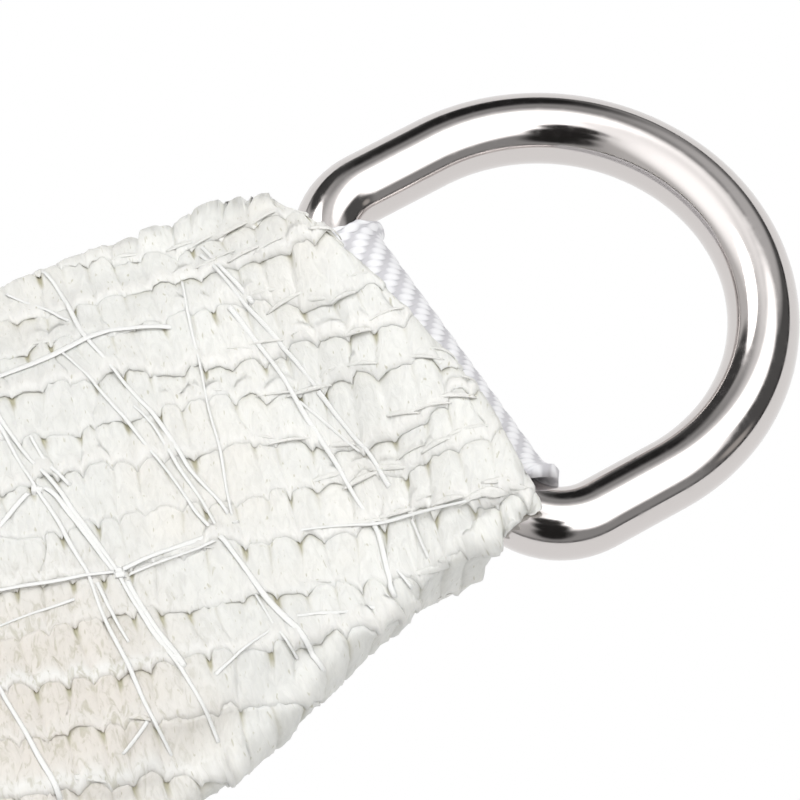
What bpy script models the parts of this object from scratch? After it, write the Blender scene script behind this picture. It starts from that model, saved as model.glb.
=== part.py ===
"""Corner of a knitted shade sail: the hemmed cloth, a webbing loop and a round-wire D-ring.

Metres, +Z up, z = 0 is the surface the corner lies on. X runs along the ring's bar and the
corner points along +Y. Every shape below is worked out in the bar's frame, whose y = 0 is the
bar's middle, and an empty carries that frame to its place, so that the whole part is centred
on the origin. Distances behind the bar are called back, so y = -back.
"""
import bpy
import numpy as np
from mathutils import Vector

# D-ring of round wire
WIRE_D = 0.0060
RING_IN_WIDTH = 0.0300
RING_IN_HEIGHT = 0.0248
RING_CORNER_R = 0.0060          # on the wire's centreline

# Webbing loop
WEB_WIDTH = 0.0274
WEB_T = 0.0012
WEB_TAIL_BACK = 0.0440
LOWER_TAIL_RISE_BACK = 0.0070   # the lower tail is up on the hems from here on
UPPER_TAIL_DROP_BACK = 0.0100   # the upper tail is down on the lower one from here on

# Knitted cloth
CLOTH_T = 0.0014
HEM_WIDTH = 0.0190              # from the folded edge to the hem's inner edge
FOLD_R = 0.0010                 # of the fold's middle line
CUT_BACK = 0.1000               # plain cut end of this length of sail
FACE_DROP_BACK = 0.0115         # the face lies flat on the tails from here on
HEM_FRONT_BACK = (0.0075, 0.0110)
TURN_IN_AT_NOSE = 0.0014        # how much of the side edge turns down at the nose
LIP_BACK = (0.0030, 0.0070)     # where that lip grows to the full wall, behind the ring's wire
NOSE_REACH = 0.0023             # the nose's furthest point, past the bar's middle
NOSE_PEAK_X = 0.0055
NOSE_SPAN = 0.0240
NOSE_FALL = 0.0037              # how far the nose falls back at that span from its peak
NOSE_BEND = 1.5
NOSE_BLEND_BACK = 0.0080
SHOULDER_CLEAR = 0.0004
TAIL_STEP = (0.0450, 0.0530)    # the face comes down off the ends of the tails
SAG_BACK = (0.0500, 0.0680)     # and sinks to the surface between the hems
HEM_RUN_MIN = 0.0003
SAG_EDGE = 0.0050
SAG_CLEAR = 0.0015

# Side edges, uneven as the sewn cloth pulls them: distance behind the bar, the folded edge's
# outermost x on the left and on the right, and the height of the face's middle at each edge.
EDGE_COLUMNS = ("back", "left_x", "right_x", "left_z", "right_z")
EDGES = np.array([
    (0.000, -0.0199, 0.0173, 0.0080, 0.0098),
    (0.002, -0.0217, 0.0169, 0.0066, 0.0097),
    (0.004, -0.0231, 0.0167, 0.0050, 0.0087),
    (0.006, -0.0239, 0.0166, 0.0040, 0.0076),
    (0.009, -0.0245, 0.0166, 0.0031, 0.0059),
    (0.012, -0.0252, 0.0169, 0.0027, 0.0053),
    (0.015, -0.0258, 0.0173, 0.0027, 0.0052),
    (0.020, -0.0266, 0.0182, 0.0027, 0.0044),
    (0.027, -0.0276, 0.0205, 0.0027, 0.0034),
    (0.033, -0.0289, 0.0211, 0.0027, 0.0029),
    (0.050, -0.0323, 0.0246, 0.0027, 0.0027),
    (0.075, -0.0370, 0.0298, 0.0027, 0.0027),
    (0.100, -0.0412, 0.0352, 0.0027, 0.0027),
])

PIECE_GAP = 0.0003
WEB_GAP = 0.00042               # webbing round the bar
NOSE_GAP = 0.00055              # cloth round the webbing

# Mesh steps
RING_ARC_STEPS = 8
RING_ROUND_STEPS = 6
RING_BOW_STEPS = 40
WEB_ACROSS = 10
WEB_WRAP_STEPS = 16
WEB_BEND_STEPS = 8
WEB_TAIL_STEPS = 5
CLOTH_ROWS = 34
CLOTH_ROW_CROWDING = 1.8        # above 1, the rows lie closer together towards the nose
CLOTH_FACE_STEPS = 24
CLOTH_TURN_STEPS = 8
CLOTH_HEM_STEPS = 4

# Worked out from the sizes above
WIRE_R = WIRE_D / 2
BOW_R = RING_IN_WIDTH / 2 + WIRE_R
RING_REACH = RING_IN_HEIGHT + WIRE_D            # bar centre to bow centre, on the centreline
BAR_Z = WIRE_R + WEB_GAP + WEB_T
RING_TILT = np.arcsin((BAR_Z - WIRE_R) / RING_REACH)    # the bow rests on the surface
BAR_HALF = BOW_R - RING_CORNER_R                # half of the bar's straight stretch
WRAP_R = WIRE_R + WEB_GAP + WEB_T / 2           # webbing's middle line round the bar
HEM_Z = CLOTH_T / 2
FLAT_EDGE_Z = HEM_Z + 2 * FOLD_R                # the face's middle where its edge lies flattest
LOWER_TAIL_Z = CLOTH_T + PIECE_GAP + WEB_T / 2
UPPER_TAIL_Z = LOWER_TAIL_Z + WEB_T + PIECE_GAP
FACE_ON_TAILS_Z = UPPER_TAIL_Z + WEB_T / 2 + PIECE_GAP + CLOTH_T / 2
FACE_WRAP_R = WRAP_R + WEB_T / 2 + NOSE_GAP + CLOTH_T / 2
RING_TIP_Y = RING_REACH * np.cos(RING_TILT) + WIRE_R
CUT_LEFT_X, CUT_RIGHT_X = EDGES[-1, 1:3]
BAR_X = -(CUT_LEFT_X + CUT_RIGHT_X) / 2
BAR_Y = (CUT_BACK - RING_TIP_Y) / 2


def smooth(t):
    """Soft step: 0 up to t = 0, 1 from t = 1, with level ends."""
    t = np.clip(t, 0.0, 1.0)
    return t * t * (3 - 2 * t)


def edge_at(back, column):
    """One column of EDGES at a distance behind the bar, on a curve through its rows."""
    b = EDGES[:, 0]
    v = EDGES[:, EDGE_COLUMNS.index(column)]
    slope = np.gradient(v, b)
    back = np.clip(back, b[0], b[-1])
    i = np.clip(np.searchsorted(b, back, side="right") - 1, 0, len(b) - 2)
    h = b[i + 1] - b[i]
    t = (back - b[i]) / h
    s = t * t * (3 - 2 * t)
    return (v[i] * (1 - s) + v[i + 1] * s
            + h * t * (1 - t) * (slope[i] * (1 - t) - slope[i + 1] * t))


def material(name, colour, roughness, metallic=0.0):
    mat = bpy.data.materials.new(name)
    mat.use_nodes = True
    shader = mat.node_tree.nodes["Principled BSDF"]
    shader.inputs["Base Color"].default_value = (*colour, 1.0)
    shader.inputs["Roughness"].default_value = roughness
    shader.inputs["Metallic"].default_value = metallic
    return mat


def add_object(name, data, mat, collection, parent):
    obj = bpy.data.objects.new(name, data)
    obj.data.materials.append(mat)
    obj.parent = parent
    collection.objects.link(obj)
    return obj


def sheet_mesh(name, grid):
    """A quad sheet through a grid of points, rows by columns."""
    rows, cols = grid.shape[:2]
    index = np.arange(rows * cols).reshape(rows, cols)
    quads = np.stack([index[:-1, :-1], index[:-1, 1:], index[1:, 1:], index[1:, :-1]], axis=-1)
    mesh = bpy.data.meshes.new(name)
    mesh.from_pydata(grid.reshape(-1, 3).tolist(), [], quads.reshape(-1, 4).tolist())
    mesh.shade_smooth()
    return mesh


def add_thickness(obj, thickness):
    mod = obj.modifiers.new("thickness", "SOLIDIFY")
    mod.thickness = thickness
    mod.offset = 0.0
    mod.use_quality_normals = True


def ring_centreline():
    """Straight bar, rounded corners, short straight legs and a half-circle bow, all flat."""
    corner = np.linspace(-np.pi / 2, 0, RING_ARC_STEPS + 1)
    bow = np.linspace(0, np.pi, RING_BOW_STEPS + 1)
    x = np.concatenate([BAR_HALF + RING_CORNER_R * np.cos(corner), BOW_R * np.cos(bow),
                        -BAR_HALF - RING_CORNER_R * np.cos(corner[::-1])])
    y = np.concatenate([RING_CORNER_R + RING_CORNER_R * np.sin(corner),
                        RING_REACH - BOW_R + BOW_R * np.sin(bow),
                        RING_CORNER_R + RING_CORNER_R * np.sin(corner[::-1])])
    return np.stack([x, y, np.zeros_like(x)], axis=-1)


def build_ring(collection, parent):
    points = ring_centreline()
    curve = bpy.data.curves.new("d_ring", "CURVE")
    curve.dimensions = "3D"
    curve.bevel_depth = WIRE_R
    curve.bevel_resolution = RING_ROUND_STEPS
    spline = curve.splines.new("POLY")
    spline.points.add(len(points) - 1)
    for point, place in zip(spline.points, points):
        point.co = (*place, 1.0)
    spline.use_cyclic_u = True
    steel = material("polished_stainless_steel", (0.62, 0.61, 0.60), 0.08, 1.0)
    ring = add_object("d_ring", curve, steel, collection, parent)
    ring.location = Vector((0.0, 0.0, BAR_Z))
    ring.rotation_euler = (-RING_TILT, 0.0, 0.0)
    return ring


def tail_height(back, from_z, to_z, bend_back):
    """Height of a tail's middle: it leaves the wrap at from_z and settles at to_z."""
    return from_z + (to_z - from_z) * smooth(back / bend_back)


def webbing_surface():
    """The loop's middle surface: lower tail, wrap round the bar, upper tail.

    Past the bar's straight stretch the wire curves towards the bow, and the wrap follows it:
    its front and its back lie on arcs about the centre of the ring's corner.
    """
    x = np.linspace(-WEB_WIDTH / 2, WEB_WIDTH / 2, WEB_ACROSS + 1)
    past = np.clip(np.abs(x) - BAR_HALF, 0.0, None)
    inner = RING_CORNER_R - np.sqrt((RING_CORNER_R - WRAP_R) ** 2 - past ** 2)
    outer = RING_CORNER_R - np.sqrt((RING_CORNER_R + WRAP_R) ** 2 - past ** 2)
    rise = (inner + outer) / 2
    wrap_y = (inner - outer) / 2
    angle = np.linspace(-np.pi / 2, np.pi / 2, WEB_WRAP_STEPS + 1)

    def back_steps(bend_back):
        bend = np.linspace(0, bend_back, WEB_BEND_STEPS + 1)[1:]
        flat = np.linspace(bend_back, WEB_TAIL_BACK, WEB_TAIL_STEPS + 1)[1:]
        return np.concatenate([bend, flat])

    low = back_steps(LOWER_TAIL_RISE_BACK)[::-1]
    high = back_steps(UPPER_TAIL_DROP_BACK)
    low_z = tail_height(low, BAR_Z - WRAP_R, LOWER_TAIL_Z, LOWER_TAIL_RISE_BACK)
    high_z = tail_height(high, BAR_Z + WRAP_R, UPPER_TAIL_Z, UPPER_TAIL_DROP_BACK)

    rows = []
    for back, z in zip(low, low_z):
        rows.append(np.stack([x, rise * (1 - smooth(back / LOWER_TAIL_RISE_BACK)) - back,
                              np.full_like(x, z)], axis=-1))
    for a in angle:
        rows.append(np.stack([x, rise + wrap_y * np.cos(a),
                              np.full_like(x, BAR_Z + WRAP_R * np.sin(a))], axis=-1))
    for back, z in zip(high, high_z):
        rows.append(np.stack([x, rise * (1 - smooth(back / UPPER_TAIL_DROP_BACK)) - back,
                              np.full_like(x, z)], axis=-1))
    return np.stack(rows)


def build_webbing(collection, parent):
    white = material("woven_white_webbing", (0.80, 0.80, 0.82), 0.6)
    loop = add_object("webbing_loop", sheet_mesh("webbing_loop", webbing_surface()), white,
                      collection, parent)
    add_thickness(loop, WEB_T)
    return loop


def face_height(x, y, back, left_end, right_end, left_z, right_z):
    """Height of the face's middle.

    Level with the edges outside, raised over the webbing inside: round the wrap in front of the
    bar, down a soft step behind it, flat on the tails, off their ends, and down to the surface
    between the hems.
    """
    across = (x - left_end) / (right_end - left_end)
    base = left_z + (right_z - left_z) * across
    behind = np.clip(-y, 0.0, None)
    ahead = np.clip(y, 0.0, None)
    top = BAR_Z + np.sqrt(FACE_WRAP_R ** 2 - ahead ** 2)
    over = np.where(y > 0, top, tail_height(behind, BAR_Z + FACE_WRAP_R, FACE_ON_TAILS_Z,
                                            FACE_DROP_BACK))
    half = WEB_WIDTH / 2 + SHOULDER_CLEAR
    shoulder = (smooth((x - left_end) / (-half - left_end))
                * smooth((right_end - x) / (right_end - half)))
    tails = 1 - smooth((back - TAIL_STEP[0]) / (TAIL_STEP[1] - TAIL_STEP[0]))
    height = base + (over - base) * shoulder * tails
    hem_left = left_end - CLOTH_T / 2 - FOLD_R + HEM_WIDTH + SAG_CLEAR
    hem_right = right_end + CLOTH_T / 2 + FOLD_R - HEM_WIDTH - SAG_CLEAR
    sag = (smooth((x - hem_left) / SAG_EDGE) * smooth((hem_right - x) / SAG_EDGE)
           * smooth((back - SAG_BACK[0]) / (SAG_BACK[1] - SAG_BACK[0])))
    return height + (HEM_Z - height) * sag


def turned_edge(s, edge_z):
    """Path of a side edge from the face's end: quarter turn down, straight wall, quarter turn
    in, then the hem flat on the surface. Gives the distance outwards and the height."""
    quarter = np.pi / 2 * FOLD_R
    wall = np.clip(edge_z - HEM_Z - 2 * FOLD_R, 0.0, None)
    a = np.clip(s, 0.0, quarter) / FOLD_R
    down = np.clip(s - quarter, 0.0, wall)
    b = np.clip(s - quarter - wall, 0.0, quarter) / FOLD_R
    run = np.clip(s - 2 * quarter - wall, 0.0, None)
    out = FOLD_R * np.sin(a) - FOLD_R * (1 - np.cos(b)) - run
    height = edge_z - FOLD_R * (1 - np.cos(a)) - down - FOLD_R * np.sin(b)
    return out, height


def turned_steps(back, edge_z):
    """Lengths along turned_edge, from the hem's inner edge to the face's end: a short lip at the
    nose, the whole wall behind it, and then the hem, which starts behind the bar."""
    wall = np.clip(edge_z - HEM_Z - 2 * FOLD_R, 0.0, None)
    lip_grown = smooth((back - LIP_BACK[0]) / (LIP_BACK[1] - LIP_BACK[0]))
    hem_grown = smooth((back - HEM_FRONT_BACK[0]) / (HEM_FRONT_BACK[1] - HEM_FRONT_BACK[0]))
    lip = TURN_IN_AT_NOSE + (wall + np.pi * FOLD_R - TURN_IN_AT_NOSE) * lip_grown
    run = HEM_RUN_MIN + (HEM_WIDTH - CLOTH_T / 2 - FOLD_R - HEM_RUN_MIN) * hem_grown
    turn = lip * np.linspace(1.0, 0.0, CLOTH_TURN_STEPS + 1)[:-1]
    hem = lip + run * np.linspace(1.0, 0.0, CLOTH_HEM_STEPS + 1)[:-1]
    return np.concatenate([hem, turn])


def nose_shift(x, back):
    """How far the rows near the nose bow forwards or back: a blunt curve across the corner."""
    bow = NOSE_REACH - NOSE_FALL * (np.abs(x - NOSE_PEAK_X) / NOSE_SPAN) ** NOSE_BEND
    return bow * (1 - smooth(back / NOSE_BLEND_BACK))


def cloth_surface():
    """The cloth's middle surface, row by row from the nose to the cut end, and in each row from
    the left hem's inner edge round the left fold, over the face, to the right hem."""
    backs = CUT_BACK * np.linspace(0.0, 1.0, CLOTH_ROWS) ** CLOTH_ROW_CROWDING
    rows = []
    for back in backs:
        left_z = max(edge_at(back, "left_z"), FLAT_EDGE_Z)
        right_z = max(edge_at(back, "right_z"), FLAT_EDGE_Z)
        inset = CLOTH_T / 2 + FOLD_R
        left_end = edge_at(back, "left_x") + inset
        right_end = edge_at(back, "right_x") - inset
        x = np.linspace(left_end, right_end, CLOTH_FACE_STEPS + 1)
        y = nose_shift(x, back) - back
        z = face_height(x, y, back, left_end, right_end, left_z, right_z)
        left_out, left_h = turned_edge(turned_steps(back, left_z), left_z)
        right_out, right_h = turned_edge(turned_steps(back, right_z)[::-1], right_z)
        rows.append(np.stack([
            np.concatenate([left_end - left_out, x, right_end + right_out]),
            np.concatenate([np.full_like(left_out, y[0]), y, np.full_like(right_out, y[-1])]),
            np.concatenate([left_h, z, right_h]),
        ], axis=-1))
    return np.stack(rows)


def build_cloth(collection, parent):
    cream = material("knitted_cream_shade_cloth", (0.82, 0.80, 0.74), 0.85)
    cloth = add_object("sail_cloth", sheet_mesh("sail_cloth", cloth_surface()), cream,
                       collection, parent)
    add_thickness(cloth, CLOTH_T)
    return cloth


def main():
    for obj in list(bpy.data.objects):
        bpy.data.objects.remove(obj, do_unlink=True)
    collection = bpy.data.collections.new("shade_sail_corner")
    bpy.context.scene.collection.children.link(collection)
    corner = bpy.data.objects.new("corner", None)
    corner.location = Vector((BAR_X, BAR_Y, 0.0))
    collection.objects.link(corner)
    build_ring(collection, corner)
    build_webbing(collection, corner)
    build_cloth(collection, corner)


main()
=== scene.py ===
"""Looks of a shade sail's corner: knitted cloth, webbing loop, polished D-ring and sewing thread.

Sizes are in metres. Shapes are worked out in the bar's frame (y = 0 is the middle of the ring's
bar, the corner points along +Y) and moved to the bar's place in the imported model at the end.
Distances behind the bar are called back. A place on the cloth is given flat, as if the side hems
were opened out: across runs along the bar and along runs towards the nose.
"""

import bpy
import numpy as np
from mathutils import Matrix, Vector


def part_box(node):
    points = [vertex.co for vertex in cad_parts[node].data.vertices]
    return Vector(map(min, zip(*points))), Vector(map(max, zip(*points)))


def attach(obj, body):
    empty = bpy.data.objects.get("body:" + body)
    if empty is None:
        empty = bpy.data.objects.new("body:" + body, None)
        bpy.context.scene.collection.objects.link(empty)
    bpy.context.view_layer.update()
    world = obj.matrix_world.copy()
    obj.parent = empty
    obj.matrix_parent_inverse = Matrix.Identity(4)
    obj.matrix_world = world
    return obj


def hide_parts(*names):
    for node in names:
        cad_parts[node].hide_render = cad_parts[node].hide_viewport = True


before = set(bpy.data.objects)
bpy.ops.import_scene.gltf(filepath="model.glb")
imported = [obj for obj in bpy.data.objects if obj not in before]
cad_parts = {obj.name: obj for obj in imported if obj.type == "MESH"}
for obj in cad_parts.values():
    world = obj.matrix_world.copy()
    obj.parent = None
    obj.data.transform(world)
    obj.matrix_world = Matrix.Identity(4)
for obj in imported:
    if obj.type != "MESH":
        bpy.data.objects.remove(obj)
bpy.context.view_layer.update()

# D-ring of round wire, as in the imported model
WIRE_R = 0.0030
RING_IN_WIDTH = 0.0300
RING_IN_HEIGHT = 0.0248
RING_CORNER_R = 0.0060

# Webbing loop
WEB_WIDTH = 0.0274
WEB_T = 0.0012
WEB_GAP = 0.00042
WEB_TAIL_BACK = 0.0440
LOWER_TAIL_RISE_BACK = 0.0070
UPPER_TAIL_DROP_BACK = 0.0100
WARP_PITCH = 0.00056            # yarn to yarn across the webbing
WEFT_PITCH = 0.00060            # along the webbing
WEAVE_RELIEF = 0.00006

# Cloth's lie
CLOTH_T = 0.0014
HEM_WIDTH = 0.0190
FOLD_R = 0.0010
CUT_BACK = 0.1000
FACE_DROP_BACK = 0.0115
HEM_FRONT_BACK = (0.0075, 0.0110)
TURN_IN_AT_NOSE = 0.0014
LIP_BACK = (0.0030, 0.0070)
NOSE_REACH = 0.0023
NOSE_PEAK_X = 0.0055
NOSE_SPAN = 0.0240
NOSE_FALL = 0.0037
NOSE_BEND = 1.5
NOSE_BLEND_BACK = 0.0080
SHOULDER_CLEAR = 0.0004
TAIL_STEP = (0.0450, 0.0530)
SAG_BACK = (0.0500, 0.0680)
HEM_RUN_MIN = 0.0003
SAG_EDGE = 0.0050
SAG_CLEAR = 0.0015
PIECE_GAP = 0.0003
NOSE_GAP = 0.00055
EDGE_COLUMNS = ("back", "left_x", "right_x", "left_z", "right_z")
EDGES = np.array([
    (0.000, -0.0199, 0.0173, 0.0080, 0.0098),
    (0.002, -0.0217, 0.0169, 0.0066, 0.0097),
    (0.004, -0.0231, 0.0167, 0.0050, 0.0087),
    (0.006, -0.0239, 0.0166, 0.0040, 0.0076),
    (0.009, -0.0245, 0.0166, 0.0031, 0.0059),
    (0.012, -0.0252, 0.0169, 0.0027, 0.0053),
    (0.015, -0.0258, 0.0173, 0.0027, 0.0052),
    (0.020, -0.0266, 0.0182, 0.0027, 0.0044),
    (0.027, -0.0276, 0.0205, 0.0027, 0.0034),
    (0.033, -0.0289, 0.0211, 0.0027, 0.0029),
    (0.050, -0.0323, 0.0246, 0.0027, 0.0027),
    (0.075, -0.0370, 0.0298, 0.0027, 0.0027),
    (0.100, -0.0412, 0.0352, 0.0027, 0.0027),
])

# Knit: chains of stitches run at a slant to the sail's corner, with tape loops between them
CHAIN_PITCH = 0.00422
CHAIN_WIDENING = 0.00022        # rows right of the middle lie further apart, left ones closer
CHAIN_START = -0.00010
NOSE_SWING = 0.0023
STITCH_PITCH = 0.00230
CHAIN_SLANT = np.radians(21.1)
STAIN = np.array([0.0095, -0.0395, 0.0040])
GROUND_T = 0.00042              # the knit's dense middle, which the loops stand on
NOSE_TURN_BACK = 0.0006         # the loops turn over the nose's edge from here on
NOSE_TURN_R = 0.0007
NOSE_TURN_MOST = 2.2            # radians
SETTLING_ROUNDS = 12
SKIN_STEP = 0.00008             # the skin's slope is taken over this length
SKIN_FLOOR = 0.00004            # and nothing of it lies lower than this

# Worked out from the sizes above
BOW_R = RING_IN_WIDTH / 2 + WIRE_R
RING_REACH = RING_IN_HEIGHT + WIRE_R * 2
BAR_Z = WIRE_R + WEB_GAP + WEB_T
RING_TILT = np.arcsin((BAR_Z - WIRE_R) / RING_REACH)
BAR_HALF = BOW_R - RING_CORNER_R
WRAP_R = WIRE_R + WEB_GAP + WEB_T / 2
HEM_Z = CLOTH_T / 2
FLAT_EDGE_Z = HEM_Z + 2 * FOLD_R
LOWER_TAIL_Z = CLOTH_T + PIECE_GAP + WEB_T / 2
UPPER_TAIL_Z = LOWER_TAIL_Z + WEB_T + PIECE_GAP
FACE_ON_TAILS_Z = UPPER_TAIL_Z + WEB_T / 2 + PIECE_GAP + CLOTH_T / 2
FACE_WRAP_R = WRAP_R + WEB_T / 2 + NOSE_GAP + CLOTH_T / 2
ALONG_CHAIN = np.array([np.sin(CHAIN_SLANT), np.cos(CHAIN_SLANT)])
OFF_CHAIN = np.array([np.cos(CHAIN_SLANT), -np.sin(CHAIN_SLANT)])

ring_low, ring_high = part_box("d_ring")
RING_TIP_Y = RING_REACH * np.cos(RING_TILT) + WIRE_R
BAR_PLACE = np.array([(ring_low.x + ring_high.x) / 2, ring_high.y - RING_TIP_Y, 0.0])


# -------- colours and materials

# A Mix node that mixes colours, and its sockets: the share, the colour under and the one over
COLOURS = {"data_type": "RGBA", "out": 2}
SHARE, UNDER, OVER = 0, 6, 7


def linear(hex_colour):
    """An sRGB hex colour as linear red, green, blue and alpha."""
    srgb = np.array([int(hex_colour[i:i + 2], 16) for i in (1, 3, 5)]) / 255
    rgb = np.where(srgb <= 0.04045, srgb / 12.92, ((srgb + 0.055) / 1.055) ** 2.4)
    return (*rgb.tolist(), 1.0)


def feed(tree, into, sockets):
    """Gives a node's sockets their values: a link where the value is a node's output, and a
    colour where it is a hex code."""
    for socket, value in sockets.items():
        if isinstance(value, bpy.types.NodeSocket):
            tree.links.new(value, into.inputs[socket])
        elif isinstance(value, str):
            into.inputs[socket].default_value = linear(value)
        else:
            into.inputs[socket].default_value = value


def node(owner, kind, sockets, out=0, **settings):
    """Adds a node to a material or world, with its settings, its sockets' values and the links
    into it, and gives the output that is named or numbered by out."""
    new = owner.node_tree.nodes.new("ShaderNode" + kind)
    for key, setting in settings.items():
        setattr(new, key, setting)
    feed(owner.node_tree, new, sockets)
    return new.outputs[out]


def new_material(name):
    mat = bpy.data.materials.new(name)
    mat.use_nodes = True
    return mat


def principled(mat, **sockets):
    """Feeds the material's Principled shader. An underscore stands for a space in a name."""
    named = {name.replace("_", " "): value for name, value in sockets.items()}
    feed(mat.node_tree, mat.node_tree.nodes["Principled BSDF"], named)


def knitted_tape_material(name, through):
    """High-density polyethylene tape, slit from extruded film and knitted: a satin, faintly
    waxy off-white, whiter where it lies double in the chains, with fine lengthwise folds. Down
    between the loops, in pits, slits and the folds' hollows it is painted darker as shade, and
    near the nose it is painted lighter. A share of the light goes through it."""
    mat = new_material(name)
    uv = node(mat, "UVMap", {}, uv_map="tape")
    spot = node(mat, "TexCoord", {}, "Object")
    painted_shade, tone, crest = (node(mat, "Attribute", {}, "Fac", attribute_name=key)
                          for key in ("painted_shade", "tone", "crest"))
    # the film's own folds, about 0.6 mm apart and 1.3 mm long, with finer ones on them
    stretched = node(mat, "Mapping", {"Vector": uv, "Scale": (1.7, 0.75, 1.0)})
    crease = node(mat, "TexNoise", {"Vector": stretched, "Scale": 1.0, "Detail": 3.0,
                                    "Roughness": 0.60, "Distortion": 0.9})
    # short slits between folds, 0.2 mm wide, here and there, painted dark as the shade in them
    wandering = node(mat, "Mapping", {"Vector": uv, "Scale": (3.4, 1.3, 1.0)})
    speck = node(mat, "TexNoise", {"Vector": wandering, "Scale": 1.0, "Detail": 1.0,
                                   "Distortion": 0.3})
    slit_shade = node(mat, "MapRange", {"Value": speck, "From Min": 0.67, "From Max": 0.76,
                                  "To Max": 0.6})
    # faint warm patches, about 12 mm across
    patch = node(mat, "TexNoise", {"Vector": spot, "Scale": 85.0, "Detail": 2.0})
    warm = node(mat, "MapRange", {"Value": patch, "From Min": 0.52, "From Max": 0.72})
    # faintly brown about the place STAIN, where the cloth has been handled
    from_stain = node(mat, "VectorMath", {0: spot, 1: (STAIN + BAR_PLACE).tolist()}, "Value",
                      operation="DISTANCE")
    stained = node(mat, "MapRange", {"Value": from_stain, "From Min": 0.016, "From Max": 0.004,
                                     "To Max": 0.9}, interpolation_type="SMOOTHSTEP")
    single = node(mat, "Mix", {SHARE: warm, UNDER: "#d5d5d1", OVER: "#d8d6d0"}, **COLOURS)
    brown = node(mat, "Mix", {SHARE: stained, UNDER: single, OVER: "#cec8c0"}, **COLOURS)
    double = node(mat, "Mix", {SHARE: crest, UNDER: brown, OVER: "#d9d8d4"}, **COLOURS)
    # the folds' hollows are painted a little darker as shade, and the tone, with its painted
    # light near the nose, scales the colour
    shade = node(mat, "MapRange", {"Value": crease, "From Min": 0.36, "From Max": 0.60,
                                   "To Min": 0.93, "To Max": 1.02})
    toned = node(mat, "Math", {0: shade, 1: tone}, operation="MULTIPLY")
    streaked = node(mat, "Mix", {SHARE: 1.0, UNDER: double, OVER: toned}, **COLOURS,
                    blend_type="MULTIPLY")
    # soil in the film's folds, where the cloth is brown
    in_folds = node(mat, "MapRange", {"Value": crease, "From Min": 0.48, "From Max": 0.34,
                                      "To Max": 0.6})
    soiled = node(mat, "Math", {0: in_folds, 1: stained}, operation="MULTIPLY")
    # the soil, and the painted shade of the slits and of the places between the loops, darken the
    # colour
    marked = node(mat, "Math", {0: slit_shade, 1: soiled}, operation="MAXIMUM")
    dark = node(mat, "Math", {0: marked, 1: painted_shade}, operation="MAXIMUM")
    colour = node(mat, "Mix", {SHARE: dark, UNDER: streaked, OVER: "#a5a18a"}, **COLOURS)
    bump = node(mat, "Bump", {"Height": crease, "Strength": 0.7, "Distance": 0.00014})
    principled(mat, Base_Color=colour, Normal=bump, Roughness=0.5, Subsurface_Weight=through,
               Subsurface_Scale=1.0, Subsurface_Radius=(0.0007, 0.00068, 0.0006))
    return mat


def ground_material():
    """The same tape pulled tight in the knit's middle, seen only down in the gaps: dull, and
    coloured darker than the tape as painted shade."""
    mat = new_material("dense_knit_ground_in_painted_shade")
    spot = node(mat, "TexCoord", {}, "Object")
    # grain about 0.7 mm across
    grain = node(mat, "TexNoise", {"Vector": spot, "Scale": 1400.0, "Detail": 2.0})
    # colours darker than the tape's: painted shade down in the gaps
    colour = node(mat, "Mix", {SHARE: grain, UNDER: "#c2beac", OVER: "#cfccbe"}, **COLOURS)
    bump = node(mat, "Bump", {"Height": grain, "Strength": 0.4, "Distance": 0.0001})
    principled(mat, Base_Color=colour, Normal=bump, Roughness=0.8)
    return mat


def webbing_material():
    """Woven polyester webbing: bright, cool white filament yarns with a soft lustre, whose
    fine filaments run along each yarn. Where a yarn sinks under the next it is painted grey, as
    shade."""
    mat = new_material("woven_polyester_webbing")
    uv = node(mat, "UVMap", {}, uv_map="weave")
    low = node(mat, "Attribute", {}, "Fac", attribute_name="painted_shade")
    # filaments about 0.07 mm wide, which wander every 0.7 mm
    stretched = node(mat, "Mapping", {"Vector": uv, "Scale": (14.0, 1.5, 1.0)})
    filament = node(mat, "TexNoise", {"Vector": stretched, "Scale": 1.0, "Detail": 2.0})
    # grey where the yarns sink: painted shade
    colour = node(mat, "Mix", {SHARE: low, UNDER: "#ebebed", OVER: "#c4c3c7"}, **COLOURS)
    bump = node(mat, "Bump", {"Height": filament, "Strength": 0.35, "Distance": 0.00005})
    principled(mat, Base_Color=colour, Normal=bump, Roughness=0.5)
    return mat


def steel_material():
    """Stainless steel wire, bent, welded and tumble-polished: a near mirror with a slightly
    wavy skin and faint fine scratches."""
    mat = new_material("polished_stainless_steel")
    spot = node(mat, "TexCoord", {}, "Object")
    # waves about 6 mm long, and scratches of 1 mm and finer
    wave = node(mat, "TexNoise", {"Vector": spot, "Scale": 160.0, "Detail": 2.0})
    scuff = node(mat, "TexNoise", {"Vector": spot, "Scale": 900.0, "Detail": 4.0})
    rough = node(mat, "MapRange", {"Value": scuff, "From Min": 0.45, "From Max": 0.75,
                                   "To Min": 0.09, "To Max": 0.19})
    bump = node(mat, "Bump", {"Height": wave, "Strength": 0.08, "Distance": 0.0002})
    principled(mat, Base_Color="#d0cbc9", Metallic=1.0, Roughness=rough, Normal=bump)
    return mat


def thread_material():
    """Bonded polyester sewing thread: white, with a slight gloss and a fine twist."""
    mat = new_material("bonded_white_thread")
    uv = node(mat, "UVMap", {}, uv_map="strand")
    # a ply of the twist about every 0.3 mm
    twist = node(mat, "TexWave", {"Vector": uv, "Scale": 2.2, "Distortion": 0.6}, "Fac",
                 bands_direction="DIAGONAL")
    bump = node(mat, "Bump", {"Height": twist, "Strength": 0.3, "Distance": 0.00004})
    principled(mat, Base_Color="#dadad8", Normal=bump, Roughness=0.4)
    return mat


# -------- meshes

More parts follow.
